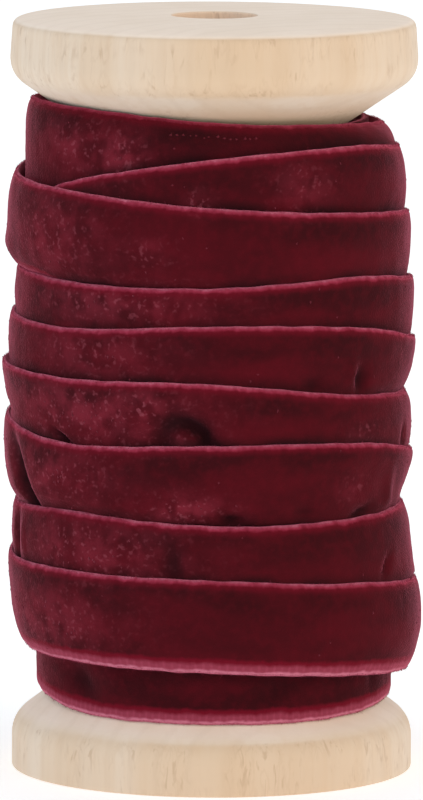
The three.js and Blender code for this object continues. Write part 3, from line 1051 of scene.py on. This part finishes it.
# Which edges show, and between which turns.
EDGE_RUNS = (
    {"run": outer_run, "start": -1.5, "end": RIBBON_END, "upper": True},
    {"run": outer_run, "start": 0.64, "end": 0.86, "upper": False},
    {"run": outer_run, "start": 6.4, "end": RIBBON_END, "upper": False},
    {"run": low_run, "start": -0.5, "end": 0.5, "upper": False},
)


def fibre_material(name, colours):
    """Single threads or locks of the pile, seen from the side, where they are palest."""
    material, tree, shader = pile_surface(name, FIBRE_SHEEN)
    pile = nap_of(tree, colours, Ruffle=measured(tree, "brush_and_sheen"), Lie=FIBRE_LIE)
    tree.links.new(pile["Colour"], shader.inputs["Base Color"])
    return material


def joined_pile(name, points, corners, brush_and_sheen, material):
    """One mesh of many small closed bits of pile, given their points in mm and the corners of each side."""
    first = np.arange(len(points))[:, None, None] * points.shape[1]
    faces = (first + np.array(corners)).reshape(-1, 3)
    mesh = mesh_of(name, points, faces.tolist())
    keep(mesh, "brush_and_sheen", np.broadcast_to(brush_and_sheen, points.shape[:2]))
    mesh.materials.append(material)
    made = placed(name, mesh)
    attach(made, "root")
    return made


def fibre_points(roots, ways, lengths):
    """Points of the fibres, four for each: three round its root and its tip."""
    ways = ways / np.linalg.norm(ways, axis=1, keepdims=True)
    side = np.cross(ways, FIBRE_SIDE)
    side /= np.linalg.norm(side, axis=1, keepdims=True)
    other = np.cross(ways, side)
    corners = [
        roots + FIBRE_RADIUS * (math.cos(turn) * side + math.sin(turn) * other)
        for turn in (0, 2 * math.pi / 3, 4 * math.pi / 3)
    ]
    return np.stack([*corners, roots + ways * lengths[:, None]], axis=1)


def covered(run, turn, height):
    """Whether the next turn of the ribbon lies over a place at this height."""
    over = np.minimum(turn + 1, run.end)
    return (turn + 1 < run.end) & (height < run.edge(over))


def outward(turn):
    """The level direction away from the axis at a turn."""
    return round_spool(turn, 1.0, 0.0)


def onward(turn):
    """The level direction in which the ribbon is wound, at a turn."""
    return round_spool(turn + QUARTER_TURN, 1.0, 0.0)


def edge_fibres(rng, row):
    """Roots, ways and lengths of the fibres along one edge of a run."""
    run = row["run"]
    count = round((row["end"] - row["start"]) * 2 * math.pi * run.lip(row["start"]) * FIBRES_PER_MM)
    turn = rng.uniform(row["start"], row["end"], count)
    inset = rng.uniform(0, FIBRE_BAND, count)
    radius, height = pile_face(run, turn, inset if row["upper"] else RIBBON_WIDTH - inset)
    lengths = rng.uniform(*FIBRE_LENGTHS, count)
    strays = rng.random(count) < STRAY_SHARE
    lengths = lengths * np.where(strays, STRAY_STRETCH, 1)
    rise = np.full(count, 1.0 if row["upper"] else -1.0)
    ways = (
        round_spool(turn, 0.0, rise)
        + outward(turn) * rng.uniform(*FIBRE_SPLAY["outward"], (count, 1))
        + onward(turn) * rng.normal(0, FIBRE_SPLAY["onward"], (count, 1))
    )
    shows = ~covered(run, turn, height)
    return round_spool(turn, radius, height)[shows], ways[shows], lengths[shows]


edge_fibre = fibre_material("edge_fibre", FIBRE)
fibre_rng = np.random.default_rng(FIBRE_SEED)
fibre_sets = [edge_fibres(fibre_rng, row) for row in EDGE_RUNS]
fibre_parts = [np.concatenate(part) for part in zip(*fibre_sets)]
edge_pile = joined_pile("edge_fibres", fibre_points(*fibre_parts), FIBRE_FACES, FIBRE_RUFFLE, edge_fibre)


# Tufts are small locks of pile on the ribbon's face that have been brushed up against its lie, mostly on
# the left. Each is a low, drawn-out lump that hugs the face, and all of them are one joined mesh.
TUFT = {
    "deep": (0.100, 0.0120, 0.0190, 1),
    "lit": (0.160, 0.0200, 0.0320, 1),
    "ruffled": (0.320, 0.0540, 0.0830, 1),
    "tip": (0.430, 0.0850, 0.1250, 1),
}
# How many places are tried, how likely a tuft is on smooth and on ruffled pile, from how ruffled on, where
# it may stand in mm below the upper edge, and how the tufts gather in clusters.
TUFT_TRIES = 36000
TUFT_CHANCE = {"smooth": 0.006, "ruffled": 0.55}
TUFT_FROM = 0.25
TUFT_BAND = (0.8, 9.4)
TUFT_CLUSTER = {"size": 2.6, "usual": 0.5, "swing": 1.5}
TUFT_SEED = 23
# How rare the palest tufts are: 1 for any paleness as often as another, and more for fewer pale ones.
TUFT_RARITY = 2.2
# How long and wide a lock is, least and most, how high, in mm, and how far it usually leans sideways.
LOCK_LENGTHS = (0.20, 0.50)
LOCK_WIDTHS = (0.16, 0.32)
LOCK_HEIGHT = 0.06
LOCK_SPLAY = 0.5
# The corners of each side of a lock: two ends and two sides in turn, then its crest and its root.
LOCK_FACES = (
    (0, 1, 4), (1, 2, 4), (2, 3, 4), (3, 0, 4),
    (1, 0, 5), (2, 1, 5), (3, 2, 5), (0, 3, 5),
)
# A row of raised locks on the top turn, about as evenly spaced as the weave that holds them, in degrees and
# mm, how far each strays from its place, and how much larger they are than the rest.
WEAVE_MARKS = {"turn": -1, "first": -13.7, "last": 15.7, "pitch": 2.1, "below": 1.5}
MARK_UNEVEN = {"angle": 0.4, "below": 0.09}
MARK_SIZE = 1.35


def tuft_places(rng, run):
    """Turns, distances below the edge and sizes of the tufts that show, most in the brushed-up and
    painted-sheen patches.
    """
    turn = rng.uniform(run.start, run.end, TUFT_TRIES)
    below = rng.uniform(*TUFT_BAND, TUFT_TRIES)
    radius, height = pile_face(run, turn, below)
    spots = round_spool(turn, radius, height)
    swing = TUFT_CLUSTER["swing"] * smooth_noise(spots, TUFT_CLUSTER["size"])
    clustered = np.clip(TUFT_CLUSTER["usual"] + swing, 0, 1)
    brushed = np.clip(ruffled(spots) - TUFT_FROM, 0, 1)
    chance = TUFT_CHANCE["smooth"] + TUFT_CHANCE["ruffled"] * brushed * clustered
    stands = rng.random(TUFT_TRIES) < chance
    shows = stands & ~covered(run, turn, height)
    marks = np.arange(WEAVE_MARKS["first"], WEAVE_MARKS["last"], WEAVE_MARKS["pitch"])
    marks = marks + rng.normal(0, MARK_UNEVEN["angle"], len(marks))
    turn = np.concatenate([turn[shows], WEAVE_MARKS["turn"] + marks / 360])
    mark_below = rng.normal(WEAVE_MARKS["below"], MARK_UNEVEN["below"], len(marks))
    below = np.concatenate([below[shows], mark_below])
    size = np.where(np.arange(len(turn)) < shows.sum(), 1, MARK_SIZE)[:, None]
    return turn, below, size


def tuft_locks(rng, run):
    """Points of the locks, six for each: two ends, two sides, a crest and a root under the face."""
    turn, below, size = tuft_places(rng, run)
    count = len(turn)
    middle = round_spool(turn, *pile_face(run, turn, below))
    crest = outward(turn) * LOCK_HEIGHT
    lie = onward(turn) * rng.normal(0, LOCK_SPLAY, (count, 1)) + round_spool(turn, 0.0, np.ones(count))
    lie /= np.linalg.norm(lie, axis=1, keepdims=True)
    end = lie * size * rng.uniform(*LOCK_LENGTHS, (count, 1)) / 2
    side = np.cross(outward(turn), lie) * size * rng.uniform(*LOCK_WIDTHS, (count, 1)) / 2
    return np.stack([middle + way for way in (end, side, -end, -side, crest, -crest)], axis=1)


tuft_rng = np.random.default_rng(TUFT_SEED)
tuft_points = tuft_locks(tuft_rng, outer_run)
tuft_paleness = tuft_rng.random((len(tuft_points), 1)) ** TUFT_RARITY
tuft_brush_and_sheen = ruffled(tuft_points) * tuft_paleness
tuft_pile = fibre_material("tuft_pile", TUFT)
tufts = joined_pile("brushed_tufts", tuft_points, LOCK_FACES, tuft_brush_and_sheen, tuft_pile)
tufts.data.shade_smooth()
run_length(outer_run) * MM
run_length(low_run) * MM
